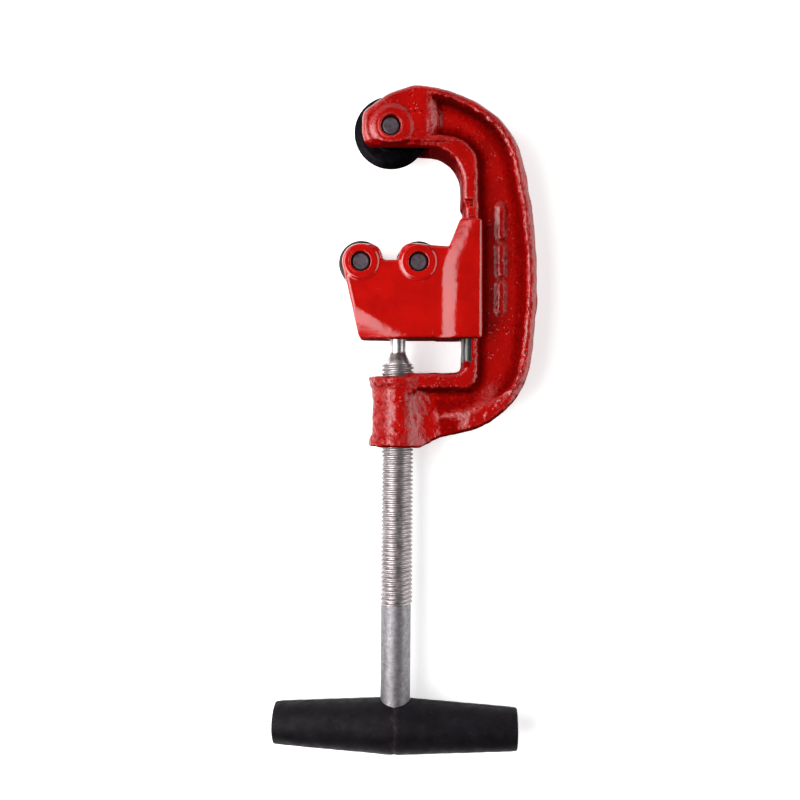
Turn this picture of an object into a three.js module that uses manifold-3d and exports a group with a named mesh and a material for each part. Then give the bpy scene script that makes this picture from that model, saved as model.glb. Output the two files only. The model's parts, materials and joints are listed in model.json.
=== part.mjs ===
// Heavy-duty screw-feed pipe cutter. One cutting wheel turns in the hook of a cast frame, and two
// rollers turn in a cast block, which a T-handled screw drives along the frame's rail.
//
// The tool lies flat: +X is across it, +Y runs from the handle to the hook, and +Z is up.
// Its parts are drawn about the screw's axis (x = 0) and the middle plane (z = 0), in millimetres.
// At the end the tool is set on the ground, with its origin under the middle of its box.

import * as THREE from 'three';
import { mergeVertices } from 'three/addons/utils/BufferGeometryUtils.js';
import Module from 'manifold-3d';

const wasm = await Module();
wasm.setup();

// ---------------------------------------------------------------- driving dimensions

// Cutting wheel, and the pin that it turns on
const WHEEL_X = -5;
const WHEEL_Y = 157;
const WHEEL_RADIUS = 21.5;
const HUB_RADIUS = 10.5;
const HUB_HALF = 9.3;
const BLADE_HALF = 3.2;
const BLADE_EDGE_LENGTH = 4;
const BLADE_THINNING = 0.8;

// Rollers: a pair, the same distance either side of the line through the wheel
const ROLLER_SPACING = 33;
const ROLLER_Y = 79;
const ROLLER_RADIUS = 13;
const ROLLER_HALF = 9.3;
const ROLLER_CHAMFER = 0.8;

// Pins of the wheel and the rollers: a head behind, and a wire ring in a groove in front
const PIN_RADIUS = 4.75;
const PIN_HOLE_RADIUS = 4.9;
const PIN_BORE_RADIUS = 5.05;
const PIN_HEAD_RADIUS = 6.5;
const PIN_HEAD_HEIGHT = 2.2;
const PIN_RECESS = 0.6;
const RING_WIRE_RADIUS = 0.5;
const RING_DEPTH = 2;
const RING_GROOVE_DEPTH = 0.45;
const RING_POCKET_RADIUS = 5.65;
const RING_POCKET_DEPTH = 3;
const RING_GAP_ANGLE = 0.5;
const RING_CLEARANCE = 0.1;
const PIN_HEAD_CHAMFER = 0.6;
const PIN_END_CHAMFER = 0.4;

// Feed screw: 3/4 inch, ten threads to the inch, right-handed
const THREAD_RADIUS = 9.525;
const THREAD_PITCH = 2.54;
const THREAD_DEPTH = 1.5;
const THREAD_TOP_Y = 21;
const THREAD_BOTTOM_Y = -119.4;
const THREAD_LEAD_IN = 2;
const NECK_RADIUS = 4.55;
const NECK_TOP_Y = 52;
const NECK_CONE_TOP_Y = 27.7;
const NECK_CHAMFER = 0.6;
const CONE_RADIUS = 7.8;
const CONE_STEP = 0.3;
const SHANK_RADIUS = 8.75;

// Pin that keeps the screw's neck in the block
const NECK_PIN_RADIUS = 1.5;
const NECK_PIN_X = 5.2;
const NECK_PIN_Y = 44;
const NECK_PIN_FRONT = 8;
const NECK_PIN_RECESS = 0.2;
const NECK_SOCKET_MOUTH_Y = 30;
const NECK_GROOVE_RADIUS = 3.4;
const NECK_GROOVE_HALF = 1.9;

// T-handle: two cones that meet in a crease, turned a little about the screw from level
const HANDLE_Y = -191.4;
const HANDLE_HALF_LENGTH = 72;
const HANDLE_END_RADIUS = 12.7;
const HANDLE_MID_RADIUS = 16.8;
const HANDLE_EDGE = 2;
const HANDLE_TURN = THREE.MathUtils.degToRad(3.3);
const HANDLE_PIN_RADIUS = 2.5;
const HANDLE_PIN_FRONT = 12;
const HANDLE_PIN_RECESS = 0.8;
const HANDLE_REACH = 30;
const SHANK_END_Y = HANDLE_Y - 9;

// Frame casting
const RIM_HALF = 15;
const RAIL_HALF = 13;
const WEB_HALF = 6.5;
const WHEEL_SLOT_RADIUS = WHEEL_RADIUS + 2.5;
const SLOT_HALF = 9.8;
const WHEEL_SLOT_REACH_X = -40;
const WHEEL_SLOT_REACH_Y = -30;
const BOSS_TOP_Y = 15.3;
const BOSS_BOTTOM_Y = -27.4;
const BOSS_TOP_RADIUS = 18.6;
const BOSS_WAIST_RADIUS = 14.6;
const BOSS_BOTTOM_RADIUS = 16.9;
const BOSS_EDGE = 1.5;
const BOSS_FLANGE_HEIGHT = 4;
const BOSS_FLARE_HEIGHT = 6;
const NUT_BORE_RADIUS = 9.95;
const NUT_CHAMFER = 1;

// Sliding block
const BLOCK_HALF = 16;
const CHEEK_HALF = BOSS_TOP_RADIUS;
const CHANNEL_HALF = RAIL_HALF + 0.3;
const ROLLER_SLOT_RADIUS = ROLLER_RADIUS + 1.2;
const ROLLER_SLOT_REACH = 30;

// Working gaps and fineness
const GAP = 0.3;
const PAST = 5;
const SMALL_SIDES = 20;
const ROUND_SIDES = 36;
const THREAD_SIDES = 16;
const MERGE_DISTANCE = 1e-4;

// ---------------------------------------------------------------- outlines

// An outline's corners are [x, y, radius of the rounding].

const FRAME_OUTLINE = [
  [-22, 166, 9],
  [-6, 177.5, 16],
  [8, 183.3, 19],
  [29.5, 181.6, 75],
  [66.5, 160.5, 50],
  [85, 85, 290],
  [72.4, -11, 50],
  [26, -20.8, 12],
  [13, -27, 2],
  [4, -27, 2],
  [4, 16, 2],
  [37.5, 16, 5],
  [37.5, 111, 1.5],
  [36.2, 113.5, 1.5],
  [36.2, 144.5, 20],
  [-19, 144.5, 3],
  [-22, 153, 8],
];

// The recess that leaves the web between the rim and the rail, on each face
const RECESS_OUTLINE = [
  [24, 174.5, 4],
  [47, 164, 30],
  [60.5, 153, 38],
  [77.2, 84, 260],
  [66, -3.5, 40],
  [24, -13.5, 5],
  [10, -16, 4],
  [10, 8, 4],
  [44.5, 8, 5],
  [44.5, 152, 16],
  [24, 152, 4],
];
const RECESS_SLOPE = 3;

// Where the frame's faces stand lower than its rim, so that the block's cheeks pass over them
const RAIL_FACE_OUTLINE = [
  [2, 4, 1],
  [47, 4, 1],
  [47, 150, 4],
  [33, 150, 4],
  [27, 142, 4],
  [27, 30, 4],
  [2, 30, 4],
];

// Where only the web runs into the boss
const BOSS_WEB_OUTLINE = [
  [2, -40, 1],
  [17.5, -40, 1],
  [17.5, 8, 1],
  [2, 8, 1],
];

const BLOCK_OUTLINE = [
  [-22.5, 35.3, 3],
  [-34.8, 89.4, 10],
  [-11, 89.4, 7],
  [-8.6, 80.5, 2],
  [-0.5, 80.5, 2],
  [1.6, 90.8, 8],
  [29, 88, 1.5],
  [35.2, 104, 2],
  [47.6, 104, 2],
  [48.2, 35.8, 2],
];

const CHEEK_OUTLINE = [
  [29.5, 35.6, 4],
  [29.5, 89, 4],
  [35.6, 103.6, 4],
  [47.4, 103.6, 4],
  [48, 36, 4],
];
const CHEEK_BEVEL = 2.2;

// The channel that straddles the rail: its pad bears on the rail, and above the pad it stands clear
const CHANNEL_OUTLINE = [
  [37.2, 30, 1],
  [37.2, 62, 1],
  [33.5, 64, 1],
  [33.5, 84, 1],
  [26, 86, 1],
  [26, 110, 1],
  [60, 110, 1],
  [60, 30, 1],
];

// ---------------------------------------------------------------- shapes and solids

// Each arc joins the one before it with a straight line
function roundedShape(corners) {
  const shape = new THREE.Shape();
  corners.forEach(([x, y, radius], index) => {
    const corner = new THREE.Vector2(x, y);
    const before = corners.at(index - 1);
    const after = corners[(index + 1) % corners.length];
    const toBefore = new THREE.Vector2(before[0], before[1]).sub(corner).normalize();
    const toAfter = new THREE.Vector2(after[0], after[1]).sub(corner).normalize();
    const halfAngle = Math.acos(toBefore.dot(toAfter)) / 2;
    const tangent = radius / Math.tan(halfAngle);
    const start = corner.clone().addScaledVector(toBefore, tangent);
    const end = corner.clone().addScaledVector(toAfter, tangent);
    const bisector = toBefore.clone().add(toAfter).normalize();
    const centre = corner.clone().addScaledVector(bisector, radius / Math.sin(halfAngle));
    const startAngle = start.clone().sub(centre).angle();
    const endAngle = end.clone().sub(centre).angle();
    const clockwise = toBefore.cross(toAfter) > 0;
    shape.absarc(centre.x, centre.y, radius, startAngle, endAngle, clockwise);
  });
  shape.closePath();
  return shape;
}

function signedVolume(vertices, triangles) {
  const a = new THREE.Vector3();
  const b = new THREE.Vector3();
  const c = new THREE.Vector3();
  let total = 0;
  for (let index = 0; index < triangles.length; index += 3) {
    a.fromArray(vertices, 3 * triangles[index]);
    b.fromArray(vertices, 3 * triangles[index + 1]);
    c.fromArray(vertices, 3 * triangles[index + 2]);
    total += a.dot(b.cross(c)) / 6;
  }
  return total;
}

// A closed geometry as a solid for cutting and joining, with its faces turned outwards
function toSolid(geometry) {
  const bare = geometry.clone();
  bare.deleteAttribute('normal');
  bare.deleteAttribute('uv');
  const merged = mergeVertices(bare, MERGE_DISTANCE);
  const vertices = merged.attributes.position.array;
  const source = merged.index.array;
  const triangles = [];
  for (let index = 0; index < source.length; index += 3) {
    const [a, b, c] = source.slice(index, index + 3);
    if (a !== b && b !== c && c !== a) {
      triangles.push(a, b, c);
    }
  }
  if (signedVolume(vertices, triangles) < 0) {
    triangles.reverse();
  }
  return new wasm.Manifold(new wasm.Mesh({
    numProp: 3,
    vertProperties: new Float32Array(vertices),
    triVerts: new Uint32Array(triangles),
  }));
}

function toGeometry(solid) {
  const { vertProperties, triVerts } = solid.getMesh();
  const geometry = new THREE.BufferGeometry();
  geometry.setAttribute('position', new THREE.BufferAttribute(vertProperties, 3));
  geometry.setIndex(new THREE.BufferAttribute(triVerts, 1));
  geometry.computeVertexNormals();
  return geometry;
}

// An outline standing between two heights, drawn in by the bevel at both ends
function prism(corners, low, high, bevel = 0, bevelHeight = bevel) {
  const geometry = new THREE.ExtrudeGeometry(roundedShape(corners), {
    depth: high - low - 2 * bevelHeight,
    curveSegments: 3,
    bevelEnabled: bevel > 0,
    bevelSegments: 1,
    bevelSize: bevel,
    bevelOffset: -bevel,
    bevelThickness: bevelHeight,
  });
  geometry.translate(0, 0, low + bevelHeight);
  return toSolid(geometry);
}

// A profile of [radius, height] points turned about Y, and laid along Z or X where asked
function turned(profile, sides, axis = 'y') {
  const points = profile.map(([radius, height]) => new THREE.Vector2(radius, height));
  const geometry = new THREE.LatheGeometry(points, sides);
  if (axis === 'z') {
    geometry.rotateX(Math.PI / 2);
  }
  if (axis === 'x') {
    geometry.rotateZ(-Math.PI / 2);
  }
  return toSolid(geometry);
}

function rod(radius, low, high, sides, axis = 'y') {
  return turned([[0, low], [radius, low], [radius, high], [0, high]], sides, axis);
}

function cutBothFaces(solid, corners, depth, bevel = 0) {
  const reach = CHEEK_HALF + PAST;
  return solid
    .subtract(prism(corners, depth, reach, bevel))
    .subtract(prism(corners, -reach, -depth, bevel));
}

// The stepped hole for a pin, with the pocket for its ring in the front face
function pinHole(x, y, faceHalf) {
  const hole = rod(PIN_HOLE_RADIUS, -faceHalf - PAST, faceHalf + PAST, SMALL_SIDES, 'z');
  const pocketFloor = faceHalf - RING_POCKET_DEPTH;
  const pocket = rod(RING_POCKET_RADIUS, pocketFloor, faceHalf + PAST, SMALL_SIDES, 'z');
  return hole.add(pocket).translate([x, y, 0]);
}

// ---------------------------------------------------------------- frame body

// A barrel that flares into a flange at each end
function makeBoss() {
  const bottomFlange = BOSS_BOTTOM_Y + BOSS_FLANGE_HEIGHT;
  const topFlange = BOSS_TOP_Y - BOSS_FLANGE_HEIGHT;
  return turned([
    [0, BOSS_BOTTOM_Y],
    [BOSS_BOTTOM_RADIUS - BOSS_EDGE, BOSS_BOTTOM_Y],
    [BOSS_BOTTOM_RADIUS, BOSS_BOTTOM_Y + BOSS_EDGE],
    [BOSS_BOTTOM_RADIUS, bottomFlange],
    [BOSS_WAIST_RADIUS, bottomFlange + BOSS_FLARE_HEIGHT],
    [BOSS_WAIST_RADIUS, topFlange - BOSS_FLARE_HEIGHT],
    [BOSS_TOP_RADIUS, topFlange],
    [BOSS_TOP_RADIUS, BOSS_TOP_Y - BOSS_EDGE],
    [BOSS_TOP_RADIUS - BOSS_EDGE, BOSS_TOP_Y],
    [0, BOSS_TOP_Y],
  ], ROUND_SIDES);
}

function makeNutBore() {
  const mouth = NUT_BORE_RADIUS + NUT_CHAMFER;
  return turned([
    [0, BOSS_BOTTOM_Y - PAST],
    [mouth, BOSS_BOTTOM_Y - PAST],
    [mouth, BOSS_BOTTOM_Y],
    [NUT_BORE_RADIUS, BOSS_BOTTOM_Y + NUT_CHAMFER],
    [NUT_BORE_RADIUS, BOSS_TOP_Y - NUT_CHAMFER],
    [mouth, BOSS_TOP_Y],
    [mouth, BOSS_TOP_Y + PAST],
    [0, BOSS_TOP_Y + PAST],
  ], ROUND_SIDES);
}

// The slot that the wheel turns in, open below and to the left
function makeWheelSlot() {
  const right = WHEEL_SLOT_RADIUS;
  const below = prism([
    [WHEEL_SLOT_REACH_X, WHEEL_SLOT_REACH_Y, 1],
    [right, WHEEL_SLOT_REACH_Y, 1],
    [right, 0, 1],
    [WHEEL_SLOT_REACH_X, 0, 1],
  ], -SLOT_HALF, SLOT_HALF);
  const round = rod(WHEEL_SLOT_RADIUS, -SLOT_HALF, SLOT_HALF, ROUND_SIDES, 'z');
  return round.add(below).translate([WHEEL_X, WHEEL_Y, 0]);
}

function makeFrame() {
  let solid = prism(FRAME_OUTLINE, -RIM_HALF, RIM_HALF, 1);
  solid = cutBothFaces(solid, RECESS_OUTLINE, WEB_HALF, RECESS_SLOPE);
  solid = cutBothFaces(solid, RAIL_FACE_OUTLINE, RAIL_HALF);
  solid = cutBothFaces(solid, BOSS_WEB_OUTLINE, WEB_HALF);
  solid = solid.add(makeBoss());
  solid = solid.subtract(makeNutBore());
  solid = solid.subtract(makeWheelSlot());
  return solid.subtract(pinHole(WHEEL_X, WHEEL_Y, RIM_HALF));
}

function makeWheel() {
  const edgeStart = WHEEL_RADIUS - BLADE_EDGE_LENGTH;
  return turned([
    [PIN_BORE_RADIUS, -HUB_HALF],
    [HUB_RADIUS, -HUB_HALF],
    [HUB_RADIUS, -BLADE_HALF - BLADE_THINNING],
    [HUB_RADIUS + BLADE_THINNING, -BLADE_HALF],
    [edgeStart, -BLADE_HALF + BLADE_THINNING],
    [WHEEL_RADIUS, 0],
    [edgeStart, BLADE_HALF - BLADE_THINNING],
    [HUB_RADIUS + BLADE_THINNING, BLADE_HALF],
    [HUB_RADIUS, BLADE_HALF + BLADE_THINNING],
    [HUB_RADIUS, HUB_HALF],
    [PIN_BORE_RADIUS, HUB_HALF],
    [PIN_BORE_RADIUS, -HUB_HALF],
  ], ROUND_SIDES, 'z');
}

// ---------------------------------------------------------------- pins and rings

// A headed pin through walls whose faces stand at plus and minus faceHalf
function makePin(faceHalf) {
  const grooveMiddle = faceHalf - RING_DEPTH;
  const grooveHalf = RING_WIRE_RADIUS + RING_CLEARANCE;
  const grooveRadius = PIN_RADIUS - RING_GROOVE_DEPTH;
  const front = faceHalf - PIN_RECESS;
  const under = -faceHalf - GAP / 3;
  return turned([
    [0, under - PIN_HEAD_HEIGHT],
    [PIN_HEAD_RADIUS - PIN_HEAD_CHAMFER, under - PIN_HEAD_HEIGHT],
    [PIN_HEAD_RADIUS, under - PIN_HEAD_HEIGHT + PIN_HEAD_CHAMFER],
    [PIN_HEAD_RADIUS, under],
    [PIN_RADIUS, under],
    [PIN_RADIUS, grooveMiddle - grooveHalf],
    [grooveRadius, grooveMiddle - grooveHalf],
    [grooveRadius, grooveMiddle + grooveHalf],
    [PIN_RADIUS, grooveMiddle + grooveHalf],
    [PIN_RADIUS, front - PIN_END_CHAMFER],
    [PIN_RADIUS - PIN_END_CHAMFER, front],
    [0, front],
  ], SMALL_SIDES, 'z');
}

class RingPath extends THREE.Curve {
  constructor(radius) {
    super();
    this.radius = radius;
  }

  getPoint(t, target = new THREE.Vector3()) {
    const angle = RING_GAP_ANGLE / 2 + t * (2 * Math.PI - RING_GAP_ANGLE);
    return target.set(this.radius * Math.cos(angle), this.radius * Math.sin(angle), 0);
  }
}

// A split ring of round wire, seated in the pin's groove
function makeRing() {
  const grooveRadius = PIN_RADIUS - RING_GROOVE_DEPTH;
  const section = new THREE.Shape();
  section.absarc(0, 0, RING_WIRE_RADIUS, 0, 2 * Math.PI, false);
  return toSolid(new THREE.ExtrudeGeometry(section, {
    curveSegments: 3,
    steps: SMALL_SIDES,
    extrudePath: new RingPath(grooveRadius + RING_WIRE_RADIUS + RING_CLEARANCE),
  }));
}

// ---------------------------------------------------------------- sliding block body

function rollerX(side) {
  return WHEEL_X + side * ROLLER_SPACING / 2;
}

function makeRollerSlot() {
  const left = rollerX(-1) - ROLLER_SLOT_RADIUS;
  const right = rollerX(1) + ROLLER_SLOT_RADIUS;
  const top = ROLLER_Y + ROLLER_SLOT_REACH;
  let slot = prism([
    [left, ROLLER_Y, 1],
    [right, ROLLER_Y, 1],
    [right, top, 1],
    [left, top, 1],
  ], -SLOT_HALF, SLOT_HALF);
  for (const side of [-1, 1]) {
    const round = rod(ROLLER_SLOT_RADIUS, -SLOT_HALF, SLOT_HALF, ROUND_SIDES, 'z');
    slot = slot.add(round.translate([rollerX(side), ROLLER_Y, 0]));
  }
  return slot;
}

// The blind socket for the screw's neck, and the blind hole for the pin that holds it
function makeNeckSocket() {
  const neck = rod(NECK_RADIUS + GAP, NECK_SOCKET_MOUTH_Y, NECK_TOP_Y + GAP, SMALL_SIDES);
  const pinRadius = NECK_PIN_RADIUS + GAP / 2;
  const pinEnd = NECK_PIN_FRONT + GAP;
  const pin = rod(pinRadius, -BLOCK_HALF - PAST, pinEnd, SMALL_SIDES, 'z');
  return neck.add(pin.translate([NECK_PIN_X, NECK_PIN_Y, 0]));
}

function makeBlock() {
  let solid = prism(BLOCK_OUTLINE, -BLOCK_HALF, BLOCK_HALF, 0.8);
  solid = solid.add(prism(CHEEK_OUTLINE, -CHEEK_HALF, CHEEK_HALF, CHEEK_BEVEL));
  solid = solid.subtract(prism(CHANNEL_OUTLINE, -CHANNEL_HALF, CHANNEL_HALF));
  solid = solid.subtract(makeRollerSlot());
  solid = solid.subtract(makeNeckSocket());
  for (const side of [-1, 1]) {
    solid = solid.subtract(pinHole(rollerX(side), ROLLER_Y, BLOCK_HALF));
  }
  return solid;
}

function makeRoller() {
  return turned([
    [PIN_BORE_RADIUS, -ROLLER_HALF],
    [ROLLER_RADIUS - ROLLER_CHAMFER, -ROLLER_HALF],
    [ROLLER_RADIUS, -ROLLER_HALF + ROLLER_CHAMFER],
    [ROLLER_RADIUS, ROLLER_HALF - ROLLER_CHAMFER],
    [ROLLER_RADIUS - ROLLER_CHAMFER, ROLLER_HALF],
    [PIN_BORE_RADIUS, ROLLER_HALF],
    [PIN_BORE_RADIUS, -ROLLER_HALF],
  ], ROUND_SIDES, 'z');
}

function makeNeckPin() {
  const behind = -BLOCK_HALF + NECK_PIN_RECESS;
  return rod(NECK_PIN_RADIUS, behind, NECK_PIN_FRONT, SMALL_SIDES, 'z');
}

// ---------------------------------------------------------------- screw body

// A right-hand V thread about Y. Its rows lie on the helix, crest and root in turn, and the last
// side of a turn joins the first side of the next turn, two rows up. A fan closes each end.
function makeThreadedRod(low, high) {
  const rootRadius = THREAD_RADIUS - THREAD_DEPTH;
  const rows = 2 * Math.ceil((high - low) / THREAD_PITCH);
  const rowOf = (row, side) => row + 2 * Math.floor(side / THREAD_SIDES);
  const vertices = [];
  const place = (row, side) => {
    const angle = 2 * Math.PI * side / THREAD_SIDES;
    const radius = row % 2 === 0 ? THREAD_RADIUS : rootRadius;
    const y = low + THREAD_PITCH * (row / 2 + side / THREAD_SIDES);
    vertices.push(radius * Math.sin(angle), y, radius * Math.cos(angle));
  };
  for (let row = 0; row <= rows + 2; row += 1) {
    for (let side = 0; side < THREAD_SIDES; side += 1) {
      place(row, side);
    }
  }
  const at = (row, side) => rowOf(row, side) * THREAD_SIDES + side % THREAD_SIDES;
  const bottom = vertices.length / 3;
  vertices.push(0, low, 0);
  const top = bottom + 1;
  vertices.push(0, low + THREAD_PITCH * (rows / 2 + 1), 0);
  const triangles = [];
  for (let row = 0; row < rows; row += 1) {
    for (let side = 0; side < THREAD_SIDES; side += 1) {
      const a = at(row, side);
      const b = at(row, side + 1);
      const c = at(row + 1, side + 1);
      const d = at(row + 1, side);
      triangles.push(a, b, c, a, c, d);
    }
  }
  for (let side = 0; side < THREAD_SIDES; side += 1) {
    triangles.push(bottom, at(0, side + 1), at(0, side));
    triangles.push(top, at(rows, side), at(rows, side + 1));
  }
  for (let row = 0; row < 2; row += 1) {
    triangles.push(bottom, at(row, 0), at(row + 1, 0));
    triangles.push(top, at(rows + row + 1, 0), at(rows + row, 0));
  }
  const geometry = new THREE.BufferGeometry();
  geometry.setAttribute('position', new THREE.Float32BufferAttribute(vertices, 3));
  geometry.setIndex(triangles);
  return toSolid(geometry);
}

function makeThread() {
  const low = THREAD_BOTTOM_Y - 3 * THREAD_PITCH;
  const outside = THREAD_RADIUS + GAP;
  const threadedRod = makeThreadedRod(low, THREAD_TOP_Y + THREAD_PITCH);
  const envelope = turned([
    [0, THREAD_BOTTOM_Y - THREAD_LEAD_IN],
    [SHANK_RADIUS, THREAD_BOTTOM_Y],
    [outside, THREAD_BOTTOM_Y + THREAD_LEAD_IN],
    [outside, THREAD_TOP_Y - THREAD_LEAD_IN],
    [CONE_RADIUS, THREAD_TOP_Y],
    [0, THREAD_TOP_Y],
  ], ROUND_SIDES);
  return threadedRod.intersect(envelope);
}

function makeScrew() {
  const grooveLow = NECK_PIN_Y - NECK_GROOVE_HALF;
  const grooveHigh = NECK_PIN_Y + NECK_GROOVE_HALF;
  const neck = turned([
    [0, THREAD_TOP_Y - THREAD_LEAD_IN],
    [CONE_RADIUS - CONE_STEP, THREAD_TOP_Y - THREAD_LEAD_IN],
    [CONE_RADIUS - CONE_STEP, THREAD_TOP_Y],
    [NECK_RADIUS, NECK_CONE_TOP_Y],
    [NECK_RADIUS, grooveLow],
    [NECK_GROOVE_RADIUS, grooveLow],
    [NECK_GROOVE_RADIUS, grooveHigh],
    [NECK_RADIUS, grooveHigh],
    [NECK_RADIUS, NECK_TOP_Y - NECK_CHAMFER],
    [NECK_RADIUS - NECK_CHAMFER, NECK_TOP_Y],
    [0, NECK_TOP_Y],
  ], SMALL_SIDES);
  const shank = rod(SHANK_RADIUS, SHANK_END_Y, THREAD_BOTTOM_Y, ROUND_SIDES);
  const holeRadius = HANDLE_PIN_RADIUS + GAP / 2;
  const hole = rod(holeRadius, -HANDLE_REACH, HANDLE_REACH, SMALL_SIDES, 'z');
  return makeThread()
    .add(neck)
    .add(shank)
    .subtract(hole.translate([0, HANDLE_Y, 0]));
}

function makeHandle() {
  const end = HANDLE_HALF_LENGTH;
  const body = turned([
    [0, -end],
    [HANDLE_END_RADIUS - HANDLE_EDGE, -end],
    [HANDLE_END_RADIUS - HANDLE_EDGE * 0.3, -end + HANDLE_EDGE * 0.3],
    [HANDLE_END_RADIUS, -end + HANDLE_EDGE],
    [HANDLE_MID_RADIUS, 0],
    [HANDLE_END_RADIUS, end - HANDLE_EDGE],
    [HANDLE_END_RADIUS - HANDLE_EDGE * 0.3, end - HANDLE_EDGE * 0.3],
    [HANDLE_END_RADIUS - HANDLE_EDGE, end],
    [0, end],
  ], ROUND_SIDES, 'x');
  const shankEnd = SHANK_END_Y - HANDLE_Y - GAP;
  const shankHole = rod(SHANK_RADIUS + GAP, shankEnd, HANDLE_REACH, ROUND_SIDES);
  const pinRadius = HANDLE_PIN_RADIUS + GAP / 2;
  const pinBore = rod(pinRadius, -HANDLE_REACH, HANDLE_PIN_FRONT + GAP, SMALL_SIDES, 'z');
  return body.subtract(shankHole).subtract(pinBore);
}

function makeHandlePin() {
  const behind = -HANDLE_MID_RADIUS + HANDLE_PIN_RECESS;
  return rod(HANDLE_PIN_RADIUS, behind, HANDLE_PIN_FRONT, SMALL_SIDES, 'z');
}

// ---------------------------------------------------------------- materials

function paint(color, roughness, metalness) {
  return () => new THREE.MeshStandardMaterial({ color, roughness, metalness });
}

const redPaint = paint(0xc4120c, 0.3, 0);
const blackSteel = paint(0x17151a, 0.45, 0.6);
const rollerSteel = paint(0x2e2523, 0.45, 0.6);
const pinSteel = paint(0x55505a, 0.5, 0.9);
const brightSteel = paint(0x9a948c, 0.35, 1);
const blackPaint = paint(0x1b1b1d, 0.6, 0);

// ---------------------------------------------------------------- assembly

function node(name, solid, material, x = 0, y = 0, z = 0) {
  const mesh = new THREE.Mesh(toGeometry(solid), material());
  mesh.name = name;
  mesh.position.set(x, y, z);
  return mesh;
}

function assembleFrame() {
  const group = new THREE.Group();
  const ringZ = RIM_HALF - RING_DEPTH;
  group.add(node('frame', makeFrame(), redPaint));
  group.add(node('cutter_wheel', makeWheel(), blackSteel, WHEEL_X, WHEEL_Y));
  group.add(node('wheel_pin', makePin(RIM_HALF), pinSteel, WHEEL_X, WHEEL_Y));
  group.add(node('wheel_pin_ring', makeRing(), blackSteel, WHEEL_X, WHEEL_Y, ringZ));
  return group;
}

function assembleBlock() {
  const group = new THREE.Group();
  const ringZ = BLOCK_HALF - RING_DEPTH;
  group.add(node('slide_block', makeBlock(), redPaint));
  group.add(node('neck_pin', makeNeckPin(), pinSteel, NECK_PIN_X, NECK_PIN_Y));
  for (const [word, side] of [['left', -1], ['right', 1]]) {
    const x = rollerX(side);
    group.add(node(`roller_${word}`, makeRoller(), rollerSteel, x, ROLLER_Y));
    group.add(node(`roller_pin_${word}`, makePin(BLOCK_HALF), pinSteel, x, ROLLER_Y));
    group.add(node(`roller_pin_ring_${word}`, makeRing(), blackSteel, x, ROLLER_Y, ringZ));
  }
  return group;
}

function assembleScrew() {
  const group = new THREE.Group();
  group.add(node('feed_screw', makeScrew(), brightSteel));
  group.add(node('t_handle', makeHandle(), blackPaint, 0, HANDLE_Y));
  group.add(node('handle_pin', makeHandlePin(), pinSteel, 0, HANDLE_Y));
  group.rotation.y = -HANDLE_TURN;
  return group;
}

function assembleTool() {
  const tool = new THREE.Group();
  tool.add(assembleFrame(), assembleBlock(), assembleScrew());
  const box = new THREE.Box3().setFromObject(tool, true);
  const middle = box.getCenter(new THREE.Vector3());
  tool.position.set(-middle.x, -middle.y, -box.min.z);
  return new THREE.Group().add(tool);
}

export default assembleTool();
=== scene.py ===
import json
import math

import bmesh
import bpy
import numpy as np
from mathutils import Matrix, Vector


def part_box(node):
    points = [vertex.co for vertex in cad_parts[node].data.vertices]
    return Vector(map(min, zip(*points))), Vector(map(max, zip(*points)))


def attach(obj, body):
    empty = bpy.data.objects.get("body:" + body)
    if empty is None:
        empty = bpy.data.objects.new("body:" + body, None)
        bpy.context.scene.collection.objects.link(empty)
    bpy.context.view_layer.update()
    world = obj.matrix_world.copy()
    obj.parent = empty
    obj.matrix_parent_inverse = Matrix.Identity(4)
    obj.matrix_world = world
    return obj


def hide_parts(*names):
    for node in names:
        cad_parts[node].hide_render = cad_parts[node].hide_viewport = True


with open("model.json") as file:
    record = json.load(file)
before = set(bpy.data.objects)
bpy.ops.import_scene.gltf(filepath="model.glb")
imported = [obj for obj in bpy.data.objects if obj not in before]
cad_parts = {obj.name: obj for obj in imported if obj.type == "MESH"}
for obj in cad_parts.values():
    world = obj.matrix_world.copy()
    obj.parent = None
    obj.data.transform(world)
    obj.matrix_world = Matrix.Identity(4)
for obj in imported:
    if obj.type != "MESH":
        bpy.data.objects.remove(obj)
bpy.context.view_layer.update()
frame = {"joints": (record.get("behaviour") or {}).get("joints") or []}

import openvdb
from mathutils import Vector

# Shapes are worked out in the tool's own frame, in millimetres: x from the screw's axis, y along
# it towards the hook, and z from the middle plane up. They are placed in metres in the row frame.

# ---------------------------------------------------------------- places, from the frame

MM = 0.001
JOINTS = {joint["name"]: joint for joint in frame["joints"]}
ORIGIN = Vector(JOINTS["screw_turn"]["pos_m"])


def in_tool(point):
    """A point of the row frame, in the tool's millimetres."""
    return np.array((Vector(point) - ORIGIN) / MM)


def node_box(node):
    low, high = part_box(node)
    return in_tool(low), in_tool(high)


WHEEL_X, WHEEL_Y, _ = in_tool(JOINTS["wheel_spin"]["pos_m"])
ROLLERS = {side: in_tool(JOINTS[f"{side}_roller_spin"]["pos_m"])[:2] for side in ("left", "right")}
ROLLER_Y = ROLLERS["left"][1]
FRAME_LOW, FRAME_HIGH = node_box("frame")
BLOCK_LOW, BLOCK_HIGH = node_box("slide_block")
WHEEL_RADIUS = (node_box("cutter_wheel")[1] - node_box("cutter_wheel")[0])[0] / 2
ROLLER_RADIUS = (node_box("roller_left")[1] - node_box("roller_left")[0])[0] / 2
SCREW_LOW, SCREW_HIGH = node_box("feed_screw")
HANDLE_PIN_LOW, HANDLE_PIN_HIGH = node_box("handle_pin")
HANDLE_Y = (HANDLE_PIN_LOW[1] + HANDLE_PIN_HIGH[1]) / 2
NECK_PIN_LOW, NECK_PIN_HIGH = node_box("neck_pin")

# ---------------------------------------------------------------- sizes that the boxes don't give

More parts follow.
